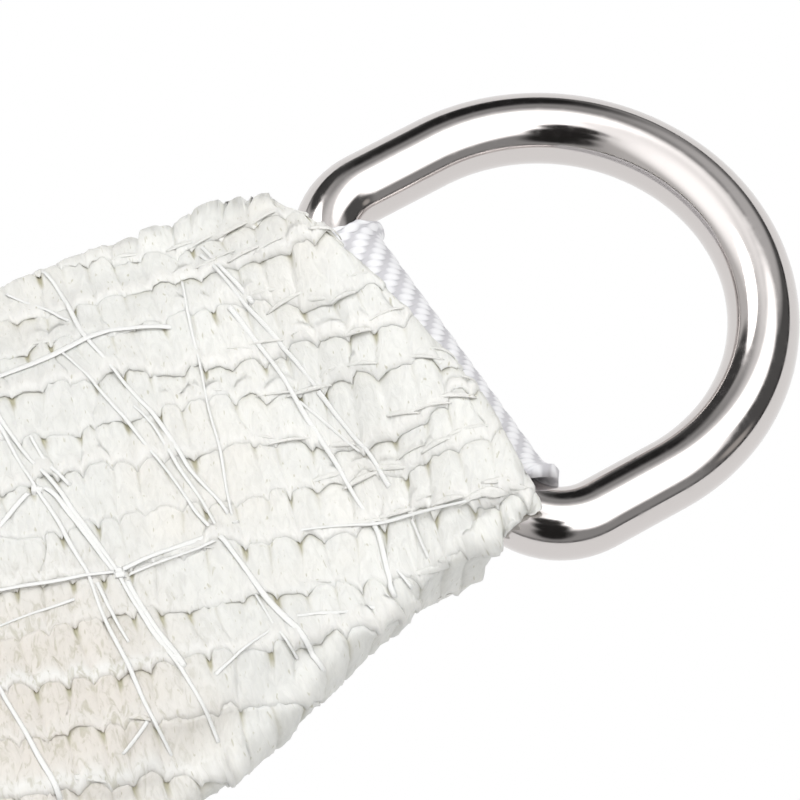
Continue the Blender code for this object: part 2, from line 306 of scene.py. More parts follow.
def tube_faces(count, rings, around, closed=False):
    """Quads of count separate tubes, each rings by around points. An open tube's ends are
    closed with strips of quads across the ring, so around is even."""
    base = np.arange(count)[:, None, None] * rings * around
    ring = np.arange(rings if closed else rings - 1)[None, :, None]
    side = np.arange(around)[None, None, :]
    here = base + ring * around
    following = base + (ring + 1) % rings * around
    turned = (side + 1) % around
    quads = [np.stack([here + side, here + turned, following + turned, following + side],
                      axis=-1).reshape(-1, 4)]
    if not closed:
        i = np.arange(around // 2 - 1)
        cap = np.stack([i, around - 1 - i, around - 2 - i, i + 1], axis=-1)
        start = base.reshape(-1, 1, 1) + cap
        quads.append(start.reshape(-1, 4))
        quads.append((start + (rings - 1) * around)[..., ::-1].reshape(-1, 4))
    return np.concatenate(quads)


def grid_faces(rows, cols):
    index = np.arange(rows * cols).reshape(rows, cols)
    return np.stack([index[:-1, :-1], index[:-1, 1:], index[1:, 1:], index[1:, :-1]],
                    axis=-1).reshape(-1, 4)


def add_piece(name, points, quads, mat, uv=None, values=None):
    """Puts a surface into the scene at the bar's place. uv is a map's name and its u and v at
    each point; values holds one number a point under each attribute's name."""
    mesh = bpy.data.meshes.new(name)
    mesh.from_pydata((points.reshape(-1, 3) + BAR_PLACE).tolist(), [], quads.tolist())
    mesh.shade_smooth()
    if uv:
        layer = mesh.uv_layers.new(name=uv[0])
        corner = np.empty(len(mesh.loops), np.int32)
        mesh.loops.foreach_get("vertex_index", corner)
        layer.data.foreach_set("uv", uv[1].reshape(-1, 2)[corner].astype(np.float32).ravel())
    for key, value in (values or {}).items():
        attribute = mesh.attributes.new(key, "FLOAT", "POINT")
        attribute.data.foreach_set("value", value.astype(np.float32).ravel())
    piece = bpy.data.objects.new(name, mesh)
    piece.data.materials.append(mat)
    bpy.context.scene.collection.objects.link(piece)
    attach(piece, "root")
    return piece


def unit(v):
    return v / np.linalg.norm(v, axis=-1, keepdims=True)


# -------- how the cloth lies

def smooth(t):
    """Soft step: 0 up to t = 0, 1 from t = 1, with level ends."""
    t = np.clip(t, 0.0, 1.0)
    return t * t * (3 - 2 * t)


def edge_at(back, column):
    """One column of EDGES at distances behind the bar, on a curve through its rows."""
    b = EDGES[:, 0]
    v = EDGES[:, EDGE_COLUMNS.index(column)]
    slope = np.gradient(v, b)
    back = np.clip(back, b[0], b[-1])
    i = np.clip(np.searchsorted(b, back, side="right") - 1, 0, len(b) - 2)
    h = b[i + 1] - b[i]
    t = (back - b[i]) / h
    s = t * t * (3 - 2 * t)
    return (v[i] * (1 - s) + v[i + 1] * s
            + h * t * (1 - t) * (slope[i] * (1 - t) - slope[i + 1] * t))


def tail_height(back, from_z, to_z, bend_back):
    """Height of a tail's middle: it leaves the wrap at from_z and settles at to_z."""
    return from_z + (to_z - from_z) * smooth(back / bend_back)


def side_ends(back):
    """Where the flat face ends and the side folds start, on the left and on the right."""
    inset = CLOTH_T / 2 + FOLD_R
    return edge_at(back, "left_x") + inset, edge_at(back, "right_x") - inset


def nose_shift(x, back):
    """How far the rows near the nose bow forwards or back: a blunt curve across the corner."""
    bow = NOSE_REACH - NOSE_FALL * (np.abs(x - NOSE_PEAK_X) / NOSE_SPAN) ** NOSE_BEND
    return bow * (1 - smooth(back / NOSE_BLEND_BACK))


def face_height(x, y, back, left_end, right_end, left_z, right_z):
    """Height of the face's middle: level with the edges outside, raised over the webbing
    inside (round the wrap, down a soft step, flat on the tails, off their ends), and down to
    the surface between the hems."""
    base = left_z + (right_z - left_z) * (x - left_end) / (right_end - left_end)
    behind = np.clip(-y, 0.0, None)
    ahead = np.clip(y, 0.0, None)
    top = BAR_Z + np.sqrt(FACE_WRAP_R ** 2 - ahead ** 2)
    over = np.where(y > 0, top, tail_height(behind, BAR_Z + FACE_WRAP_R, FACE_ON_TAILS_Z,
                                            FACE_DROP_BACK))
    half = WEB_WIDTH / 2 + SHOULDER_CLEAR
    shoulder = (smooth((x - left_end) / (-half - left_end))
                * smooth((right_end - x) / (right_end - half)))
    tails = 1 - smooth((back - TAIL_STEP[0]) / (TAIL_STEP[1] - TAIL_STEP[0]))
    height = base + (over - base) * shoulder * tails
    hem_left = left_end - CLOTH_T / 2 - FOLD_R + HEM_WIDTH + SAG_CLEAR
    hem_right = right_end + CLOTH_T / 2 + FOLD_R - HEM_WIDTH - SAG_CLEAR
    sag = (smooth((x - hem_left) / SAG_EDGE) * smooth((hem_right - x) / SAG_EDGE)
           * smooth((back - SAG_BACK[0]) / (SAG_BACK[1] - SAG_BACK[0])))
    return height + (HEM_Z - height) * sag


def turned_length(back, edge_z):
    """How much cloth goes round a side fold and under: a short lip at the nose, then the whole
    wall, and behind the bar the hem too."""
    wall = np.clip(edge_z - HEM_Z - 2 * FOLD_R, 0.0, None)
    lip_grown = smooth((back - LIP_BACK[0]) / (LIP_BACK[1] - LIP_BACK[0]))
    hem_grown = smooth((back - HEM_FRONT_BACK[0]) / (HEM_FRONT_BACK[1] - HEM_FRONT_BACK[0]))
    lip = TURN_IN_AT_NOSE + (wall + np.pi * FOLD_R - TURN_IN_AT_NOSE) * lip_grown
    return lip + HEM_RUN_MIN + (HEM_WIDTH - CLOTH_T / 2 - FOLD_R - HEM_RUN_MIN) * hem_grown


def turned_edge(s, edge_z):
    """Path of a side edge from the face's end: quarter turn down, straight wall, quarter turn
    in, then the hem flat on the surface. Gives the distance outwards and the height."""
    quarter = np.pi / 2 * FOLD_R
    wall = np.clip(edge_z - HEM_Z - 2 * FOLD_R, 0.0, None)
    a = np.clip(s, 0.0, quarter) / FOLD_R
    down = np.minimum(np.clip(s - quarter, 0.0, None), wall)
    b = np.clip(s - quarter - wall, 0.0, quarter) / FOLD_R
    run = np.clip(s - 2 * quarter - wall, 0.0, None)
    out = FOLD_R * np.sin(a) - FOLD_R * (1 - np.cos(b)) - run
    height = edge_z - FOLD_R * (1 - np.cos(a)) - down - FOLD_R * np.sin(b)
    return out, height


def back_of(across, along):
    """How far behind the bar a flat place lies: along is minus back, plus the nose's bow. Each
    round puts the last answer into the bow, and the answers settle."""
    back = np.clip(-along, 0.0, CUT_BACK)
    for _ in range(SETTLING_ROUNDS):
        left, right = side_ends(back)
        back = np.clip(nose_shift(np.clip(across, left, right), back) - along, 0.0, CUT_BACK)
    return back


def edge_heights(back):
    """Height of the middle surface at the face's left and right end."""
    return [np.maximum(edge_at(back, column), FLAT_EDGE_Z) for column in ("left_z", "right_z")]


def middle(across, back):
    """The cloth's middle surface: the face between the side folds, and past them the turned
    edge and the hem."""
    left, right = side_ends(back)
    left_z, right_z = edge_heights(back)
    x = np.clip(across, left, right)
    y = nose_shift(x, back) - back
    face = face_height(x, y, back, left, right, left_z, right_z)
    past_left = np.clip(left - across, 0.0, turned_length(back, left_z))
    past_right = np.clip(across - right, 0.0, turned_length(back, right_z))
    left_out, left_h = turned_edge(past_left, left_z)
    right_out, right_h = turned_edge(past_right, right_z)
    z = np.where(across < left, left_h, np.where(across > right, right_h, face))
    x = x - left_out * (across < left) + right_out * (across > right)
    return np.stack([x, y, z], axis=-1)


def cloth_limits(back):
    """The flat cloth's furthest places across: the inner edges of the left and right hems."""
    left, right = side_ends(back)
    left_z, right_z = edge_heights(back)
    return left - turned_length(back, left_z), right + turned_length(back, right_z)


def skin(across, along, lift):
    """A point lifted off the cloth's middle surface along its normal, outwards if lift is
    above 0. What is past the nose's edge turns down over it, about the middle surface's end."""
    back = np.maximum(back_of(across, along), NOSE_TURN_BACK)
    base = middle(across, back)
    low, high = cloth_limits(back)
    a0 = np.clip(across, low + SKIN_STEP, high - SKIN_STEP)
    b0 = np.clip(back, SKIN_STEP, CUT_BACK - SKIN_STEP)
    side = middle(a0 + SKIN_STEP, b0) - middle(a0 - SKIN_STEP, b0)
    ahead = middle(a0, b0 - SKIN_STEP) - middle(a0, b0 + SKIN_STEP)
    normal = unit(np.cross(side, ahead))
    forward = unit(np.cross(normal, side))
    beyond = np.clip(along - base[..., 1], 0.0, None)
    turn = np.clip(beyond / NOSE_TURN_R, 0.0, NOSE_TURN_MOST)[..., None]
    point = base + lift[..., None] * (normal * np.cos(turn) + forward * np.sin(turn))
    point[..., 2] = np.maximum(point[..., 2], SKIN_FLOOR)
    return point


# -------- cloth

GROUND_ROWS = 90
GROUND_FRONT = 0.0008           # it ends this far behind the nose's edge, inside the loops
GROUND_FACE_STEPS = 44
GROUND_FOLD_STEPS = 8
GROUND_HEM_STEPS = 10
GROUND_CROWDING = 1.3           # rows of the grid lie closer together towards the nose
FOLD_SPAN = 0.006


def build_ground():
    """The knit's dense middle: the middle surface on a grid, from the left hem's inner edge
    round both folds to the right hem's, and from the nose to the cut end."""
    share = np.linspace(0, 1, GROUND_ROWS)[:, None] ** GROUND_CROWDING
    back = GROUND_FRONT + (CUT_BACK - GROUND_FRONT) * share
    left, right = side_ends(back)
    low, high = cloth_limits(back)
    hem = np.linspace(0, 1, GROUND_HEM_STEPS + 1)[:-1]
    fold = np.linspace(0, 1, GROUND_FOLD_STEPS + 1)[:-1]
    left_span = np.minimum(FOLD_SPAN, left - low)
    right_span = np.minimum(FOLD_SPAN, high - right)
    across = np.concatenate([
        low + (left - left_span - low) * hem,
        left - left_span * (1 - fold),
        left + (right - left) * np.linspace(0, 1, GROUND_FACE_STEPS + 1),
        right + right_span * (1 - fold[::-1]),
        high - (high - right - right_span) * hem[::-1],
    ], axis=1)
    points = middle(across, np.broadcast_to(back, across.shape))
    points[..., 2] = np.maximum(points[..., 2], GROUND_T / 2)
    ground = add_piece("sail_cloth_ground", points, grid_faces(*across.shape), ground_material())
    thick = ground.modifiers.new("thickness", "SOLIDIFY")
    thick.thickness = GROUND_T
    thick.offset = 0.0
    return ground


# Rows of the knit run alongside one another, numbered to the right. Each row's tape loops
# come out from under the scalloped edge of the row before it, and rise to the row's own crest,
# whose edge hangs over the next row's loops.
ROWS = np.arange(-16, 22)
STITCHES = np.arange(-55, 12)
STITCH_STEPS = np.array([0.0, 0.055, 0.13, 0.26, 0.42, 0.58, 0.74, 0.87, 0.945])

# A row's section, over the top and back underneath: how far from the edge before (0) to the
# row's own edge (1), then mm past that, mm above the cloth's middle, and how much of the loop's
# crown, of the crest and of the painted shade each point takes.
SECTION = np.array([
    (0.00, -0.80, 0.10, 0.0, 0.0, 1.00),
    (0.00, -0.28, 0.33, 0.3, 0.0, 1.00),
    (0.00, -0.05, 0.39, 0.7, 0.0, 0.70),
    (0.00, 0.12, 0.42, 0.9, 0.0, 0.05),
    (0.00, 0.45, 0.44, 1.0, 0.0, 0.00),
    (0.27, 0.00, 0.47, 1.0, 0.0, 0.00),
    (0.48, 0.00, 0.51, 0.9, 0.1, 0.00),
    (1.00, -1.60, 0.56, 0.6, 0.3, 0.00),
    (1.00, -1.20, 0.61, 0.4, 0.7, 0.00),
    (1.00, -0.85, 0.64, 0.2, 1.0, 0.00),
    (1.00, -0.50, 0.65, 0.1, 0.9, 0.00),
    (1.00, -0.24, 0.61, 0.0, 0.6, 0.00),
    (1.00, -0.08, 0.54, 0.0, 0.3, 0.00),
    (1.00, 0.00, 0.47, 0.0, 0.1, 0.05),
    (1.00, -0.03, 0.42, 0.0, 0.0, 0.50),
    (1.00, -0.40, 0.34, 0.0, 0.0, 1.00),
    (1.00, -1.30, 0.15, 0.0, 0.0, 1.00),
    (0.66, -0.60, 0.12, 0.0, 0.0, 1.00),
    (0.33, -0.70, 0.11, 0.0, 0.0, 1.00),
])
TOP_POINTS = slice(3, 14)       # those that are seen from above
CREST_POINTS = slice(7, 14)
TICK_ON_SECTION = ((1, 3, 5, 6), (0.0, 1.0, 0.5, 0.0))      # a tick's points and its strength

# How much thicker the knit lies on the side folds, here and there: mm behind the bar and share
LEFT_SWELL = np.array([(0, 0.5), (2, 0.9), (4, 1.3), (7, 1.2), (12, 1.3), (16, 0.6), (22, 0.4),
                       (100, 0.4)])
RIGHT_SWELL = np.array([(0, 0.5), (2.5, 1.4), (4.2, 2.3), (6.2, 0.6), (8, 0.0), (10.5, 0.1),
                        (12.5, 0.9), (16, 0.7), (21, 1.1), (25, 1.0), (28, 0.2), (32, 1.2),
                        (40, 0.6), (100, 0.5)])
SWELL_GROWS = 0.0015            # over so much of the fold

# How the knit lies
SWING_BACK = 0.017              # the rows start to swing this far back, along their own axis
SWING_GROWS = 0.015
SWING_FADES = 0.022             # and do so less and less up to this far right
ROW_WAVES = ((0.00026, 0.0071, 2.3), (0.00018, 0.0025, 4.1))    # size, length, turn by the row
CROWDED_BACK = 0.020            # the knit is crowded from here to the nose
CROWDED_GROWS = 0.013
SCALLOP_DEPTH = 0.85            # the deepest, in mm
NEEDLE_PIT = 1.8
LIFT_OF_UNDERSIDE = 0.25        # mm; what the section has above this is kept
ABOVE_GROUND = 0.29             # this many mm over the cloth's middle
PINCH_LENGTH = 0.0008
PINCHED_HEIGHT = 0.30           # mm
PAST_NOSE = 0.0013              # the loops go so far past the nose's edge, but for a dent
DENT_X, DENT_WIDTH, DENT_DEPTH = -0.0030, 0.0035, 0.0009
RIPPLE, RIPPLE_LENGTH = 0.0002, 0.0011
SKIN_INSET = 0.0002
CUT_FRAY = 0.0004
PAST_HEM = 0.0006
PAST_TAIL = 0.0012
LEAF_RINGS = np.array([0.0, 0.12, 0.32, 0.52, 0.72, 0.90, 1.0])
LEAF_AROUND = 8
LEAF_HALF_WIDTH = (0.00013, 0.00030)
LEAF_CLEAR = 0.0012             # how far inside the outline a leaf stays

# Where the needle went down, in mm in the bar's frame
NEEDLE_HOLES = np.array([
    (4.5, -19.9), (1.3, -21.9), (-17.0, -24.8), (-19.9, -21.2), (-11.1, -20.6), (-13.9, -9.8),
    (-13.5, -29.1), (-5.9, -31.8), (-2.2, -31.2), (-1.3, -20.5), (-8.9, -22.2), (11.2, -21.2),
    (0.4, -31.5), (5.7, -29.2), (2.9, -32.9), (16.2, -23.7), (18.4, -23.5), (11.8, -34.3),
    (9.8, -38.5), (13.2, -37.2), (6.9, -35.0), (0.4, -39.0), (13.6, -29.1), (7.2, -40.3),
    (-21.8, -8.5), (8.7, -7.6), (-2.3, -7.7), (-4.2, -9.5), (17.4, -34.4), (-25.0, -20.2),
]) / 1000


def nearness(off, t):
    """1 near the nose, where the knit is twisted and crowded, and 0 from 20 mm behind it."""
    return smooth((place(off, t)[1] + CROWDED_BACK) / CROWDED_GROWS)


def row_line(row, t):
    """How far off the rows' own axis a row runs, before its scallops: evenly spaced, wider to
    the right of the middle, swung to the right near the nose, with slow waves of its own."""
    base = CHAIN_START + row * CHAIN_PITCH + np.abs(row) * CHAIN_WIDENING
    fading = np.clip(1 - base / SWING_FADES, 0.1, 1.0)
    swing = NOSE_SWING * smooth((t + SWING_BACK) / SWING_GROWS) * fading
    wave = sum(size * np.sin(t / length + turn * row) for size, length, turn in ROW_WAVES)
    return base + swing + wave * (1 + 0.9 * nearness(base, t))


class Knit:
    """Where the stitches lie, by row, stitch and step within the stitch: t is the place along
    the row, line the place off the rows' axis and edge the same with its scallops. The rest is
    near, nearness to the nose; foot, 1 where a scallop ends; shut, 1 where the edge lies tight
    on the next loops; crown and crest, how many mm higher the loops and the chains stand; strong,
    1 on every second row, whose chains are thicker; pit, where the loops sink at a gap and are
    painted dark as shade; tick, where a slit parts two loops, painted dark as shade too; dark,
    how dark a gap's painted shade is; and tone, how light the tape is, at random and
    painted lighter near the nose to make up for the light falling off there."""

    def __init__(self, seed):
        rng = np.random.default_rng(seed)
        shape = (len(ROWS), len(STITCHES))
        step = STITCH_STEPS[None, None, :]

        def pick(low, high):
            return rng.uniform(low, high, shape)[..., None]

        def crumple(size):
            return rng.normal(0, size, self.t.shape)

        # a number for each stitch's start, carried evenly to the next one's or kept near both
        def between(a):
            return a[..., None] * (1 - step) + np.roll(a, -1, axis=1)[..., None] * step

        def at_ends(a, wide):
            after = np.roll(a, -1, axis=1)[..., None]
            return (a[..., None] * np.exp(-(step / wide) ** 2)
                    + after * np.exp(-((1 - step) / wide) ** 2))

        # the stitches' ends, each row shifted against the one before it, and unevenly spaced
        shift = np.cumsum(rng.uniform(-0.22, 0.22, len(ROWS)))[:, None]
        uneven = np.clip(rng.normal(0, 0.13, shape), -0.3, 0.3)
        ends = (STITCHES + shift + uneven) * STITCH_PITCH
        following = np.concatenate([ends[:, 1:], ends[:, -1:] + STITCH_PITCH], axis=1)
        self.t = ends[..., None] + step * (following - ends)[..., None]
        self.line = row_line(ROWS[:, None, None], self.t)
        self.near = nearness(self.line, self.t)
        self.strong = (ROWS % 2)[:, None, None]

        # the edge: uneven arches, some of two lobes, that hang further here and there
        arch = 1 - np.abs(2 * step ** pick(0.7, 1.4) - 1) ** 2.2
        self.foot = 1 - arch
        deep = pick(0.0, 1.0) ** 0.7 * SCALLOP_DEPTH * (1 + 0.4 * self.near)
        hang = between(rng.uniform(-0.24, 0.24, shape)) * (1 + self.near)
        twin = np.clip(pick(-0.25, 0.32), 0, 1) * np.abs(np.sin(2 * np.pi * step))
        self.edge = self.line + (hang - deep * arch - twin + crumple(0.05)) / 1000
        self.shut = (smooth((between(rng.random(shape)) - 0.20) / 0.30 + crumple(0.24))
                     * (1 - 0.5 * self.near))

        # the loops' crowns, which tilt and swell, with a valley between stitches, and the chains
        valley = at_ends(rng.random(shape) ** 2.5 * 0.13, 0.13)
        side = 2 * step - 1
        self.crown = ((pick(-0.06, 0.05) + pick(-0.03, 0.03) * side
                       + pick(0.0, 0.05) * (1 - side ** 2)) * (1 + self.near) - valley
                      + crumple(0.014))
        braid = np.sin(2 * np.pi * step + 0.6) * 0.025
        self.crest = 0.10 * self.strong + pick(-0.03, 0.04) + braid + crumple(0.016)

        # gaps, painted dark as shade, and tones, painted lighter near the nose
        few = (rng.random(shape) > 0.79) * rng.uniform(0.5, 1.7, shape) * 0.8
        self.pit = at_ends(self.with_needle_holes(few), 0.085)
        self.shut = self.shut * (1 - np.clip(self.pit, 0, 1))
        self.dark = pick(0.05, 1.0)
        # the tape's tone differs at random, and near the nose it is painted lighter to make up
        # for the light falling off there
        self.tone = pick(0.94, 0.98) + 0.06 * self.near
        self.tick = at_ends((rng.random(shape) > 0.40) * rng.uniform(0.3, 1.0, shape), 0.055)

    def with_needle_holes(self, pits):
        """Deepens the pit at the stitch's start that is nearest to each needle hole."""
        across, along = place(self.edge[..., 0], self.t[..., 0])
        for x, y in NEEDLE_HOLES:
            pits.flat[np.argmin((across - x) ** 2 + (along - y) ** 2)] = NEEDLE_PIT
        return pits


def place(off, t):
    """The flat place, across and along, of a place off and along the rows."""
    return (off * OFF_CHAIN[0] + t * ALONG_CHAIN[0], off * OFF_CHAIN[1] + t * ALONG_CHAIN[1])


def how_far_inside(across, along, low, high, front):
    """How far a flat place is from the nearest of four limits: low, high, front and the cut."""
    return np.minimum(np.minimum(across - low, high - across),
                      np.minimum(front - along, along + CUT_BACK + CUT_FRAY))


def outer_limits(across, along):
    """Holds a flat place inside the cloth's outer skin, and tells how far inside it is."""
    back = back_of(across, along)
    low, high = cloth_limits(back)
    nose = (nose_shift(np.clip(across, *side_ends(back)), 0.0) + PAST_NOSE
            - DENT_DEPTH * np.exp(-((across - DENT_X) / DENT_WIDTH) ** 2)
            + RIPPLE * np.sin(across / RIPPLE_LENGTH))
    inside = how_far_inside(across, along, low, high, nose)
    return (np.clip(across, low + SKIN_INSET, high - SKIN_INSET),
            np.clip(along, -CUT_BACK - CUT_FRAY, nose), inside)


def inner_limits(across, along):
    """The same for the face's underside, between the hems and behind the webbing's tails."""
    left, right = side_ends(back_of(across, along))
    hem = HEM_WIDTH - CLOTH_T / 2 - FOLD_R + PAST_HEM
    low, high = left + hem, right - hem
    front = -WEB_TAIL_BACK - PAST_TAIL
    inside = how_far_inside(across, along, low, high, front)
    return np.clip(across, low, high), np.clip(along, -CUT_BACK - CUT_FRAY, front), inside


def knit_rows(name, knit, limits, side, first, last, mat):
    """Rows first to last of the knit as flat tubes, each with SECTION across it: from the edge
    before, where the loops start sunk, shut or in a pit, to the row's own lip. They swell on the
    side folds and are pinched shut where they meet the cloth's outline. Quads wholly outside the
    outline are left out."""
    way, past, lift, crown, crest, painted_shade = SECTION.T
    own = np.arange(np.searchsorted(ROWS, first), np.searchsorted(ROWS, last) + 1)
    before = own - 1

    def flat(a, rows):
        return a.reshape(len(ROWS), -1)[rows][..., None]

    edge_0, edge_1 = flat(knit.edge, before), flat(knit.edge, own)
    t = (flat(knit.t, before) * (1 - smooth(way * 1.1))
         + flat(knit.t, own) * smooth(way * 1.1))
    off = edge_0 + way * (edge_1 - edge_0) + past / 1000
    top = off[..., TOP_POINTS]
    off[..., TOP_POINTS] = np.maximum.accumulate(top, axis=-1)      # where rows crowd
    start = (way < 0.2) * np.exp(-((past - 0.02) / 0.38) ** 2)
    pit = flat(knit.pit, before) * (way < 0.2) * np.exp(-((past - 0.18) / 0.34) ** 2)
    lip = (way == 1.0) * np.exp(-(past / 0.25) ** 2)
    tick = flat(knit.tick, before) * np.interp(np.arange(len(way)), *TICK_ON_SECTION)
    height = (lift + crown * flat(knit.crown, before) + crest * flat(knit.crest, own)
              + start * (0.28 * flat(knit.shut, before) - 0.05)
              + lip * (0.02 - 0.04 * flat(knit.foot, own) - 0.07 * flat(knit.shut, own))
              - 0.32 * pit - 0.06 * tick)
    height = np.where(lift > LIFT_OF_UNDERSIDE, np.maximum(height, ABOVE_GROUND), height)
    across, along = place(off, t)
    back = back_of(across, along)
    left, right = side_ends(back)
    swell = [np.interp(back * 1000, *table.T) for table in (LEFT_SWELL, RIGHT_SWELL)]
    on_left = smooth((left - across) / SWELL_GROWS)
    on_right = smooth((across - right) / SWELL_GROWS)
    groove = (on_left + on_right) * flat(knit.foot ** 3, before) * crown
    height = height * (1 + swell[0] * on_left + swell[1] * on_right) - 0.16 * groove
    across, along, inside = limits(across, along)
    pinch = np.sqrt(np.clip(inside / PINCH_LENGTH, 0.0, 1.0))
    height = PINCHED_HEIGHT + (height - PINCHED_HEIGHT) * pinch
    points = skin(across, along, side * height / 1000)
    quads = tube_faces(*off.shape)
    if side < 0:
        quads = quads[:, ::-1]
    quads = quads[(inside.ravel()[quads] > 0).any(axis=1)]
    used, quads = np.unique(quads, return_inverse=True)

    def at_used(a):
        return np.broadcast_to(a, off.shape).ravel()[used]

    number = ROWS[own][:, None, None]
    uv = np.stack([at_used(t * 1000 + 13.0 * number),
                   at_used((off - edge_0) * 1000 + 7.0 * number)], axis=-1)
    # gaps, pits, slits and grooves are painted dark as shade, less where the row is pinched
    gap = knit.dark * (1 - knit.shut) ** 2
    gap = np.where(way < 0.5, flat(gap, before), flat(gap, own))
    dark = np.clip((0.6 * painted_shade + 0.4 * start * (painted_shade < 0.5)) * gap + 1.2 * pit
                   + 0.55 * tick + 0.15 * groove, 0, 1) * pinch ** 2
    white = crest * (0.35 + 0.65 * knit.strong[own])
    return add_piece(name, points.reshape(-1, 3)[used], quads.reshape(-1, 4), mat,
                     ("tape", uv), {"painted_shade": at_used(dark),
                                    "tone": at_used(flat(knit.tone, before)),
                                    "crest": at_used(white)})


def leaf_stitches(name, knit, limits, side, seed, mat):
    """The chain stitches on the crests: flat leaves, each started under the one before it, and
    slanting from the crest's far side to its scalloped edge. Near the nose they stand out and
    lie every way, and further back only a few show."""
    rng = np.random.default_rng(seed)
    centre = knit.t[..., 4]
    line = knit.line[..., 4]
    near = nearness(line, centre)
    chosen = ((limits(*place(line, centre))[2] > LEAF_CLEAR)
              & (rng.random(centre.shape) < 0.10 + 0.75 * near))
    strong = np.broadcast_to(knit.strong[..., 0], centre.shape)
    centre, line, near, strong, crest = (a[chosen][:, None, None] for a in
                                         (centre, line, near, strong, knit.crest[..., 4]))
    n = len(centre)

    def pick(low, high):
        return rng.uniform(low, high, n)[:, None, None]

    s = LEAF_RINGS[None, :, None]
    angle = (np.arange(LEAF_AROUND) * 2 * np.pi / LEAF_AROUND)[None, None, :]
    length = STITCH_PITCH * pick(0.9, 1.7)
    swell = np.sqrt(np.clip(np.sin(np.pi * np.clip(s, 0.04, 0.96)), 0.02, 1))
    wide = pick(*LEAF_HALF_WIDTH) * swell
    thick = (0.00003 + 0.00005 * near + pick(0, 0.00003)) * swell
    t = centre + (s - 0.5) * length
    slant = 0.45 + near * pick(-1.1, 0.9)
    shift = pick(-0.25, 0.25) + near * pick(-0.9, 0.4)
    off = (line + (-0.82 + slant * (s - 0.5) + shift) / 1000
           - 0.00018 * np.sin(np.pi * s) + wide * np.cos(angle))
    on_crest = np.interp((off - line) * 1000, *SECTION[CREST_POINTS, 1:3].T)
    ride = (on_crest + crest + (0.01 + 0.05 * near) * np.sin(np.pi * s) - 0.02) / 1000
    across, along, _ = limits(*place(off, t))
    points = skin(across, along, side * (ride + thick * np.sin(angle)))
    quads = tube_faces(n, len(LEAF_RINGS), LEAF_AROUND)
    if side > 0:
        quads = quads[:, ::-1]
    uv = np.stack(np.broadcast_arrays(t * 1000 + pick(0, 9), off * 4000 + pick(0, 9)), axis=-1)
    # the leaves' undersides near the nose are painted darker, as shade
    values = {"painted_shade": np.clip(-np.sin(angle), 0, 1) * 0.2 * near, "tone": pick(0.96, 1.0),
              "crest": 0.35 + 0.65 * strong}
    return add_piece(name, points, quads, mat, ("tape", uv),
                     {key: np.broadcast_to(value, off.shape) for key, value in values.items()})


# -------- sewing thread

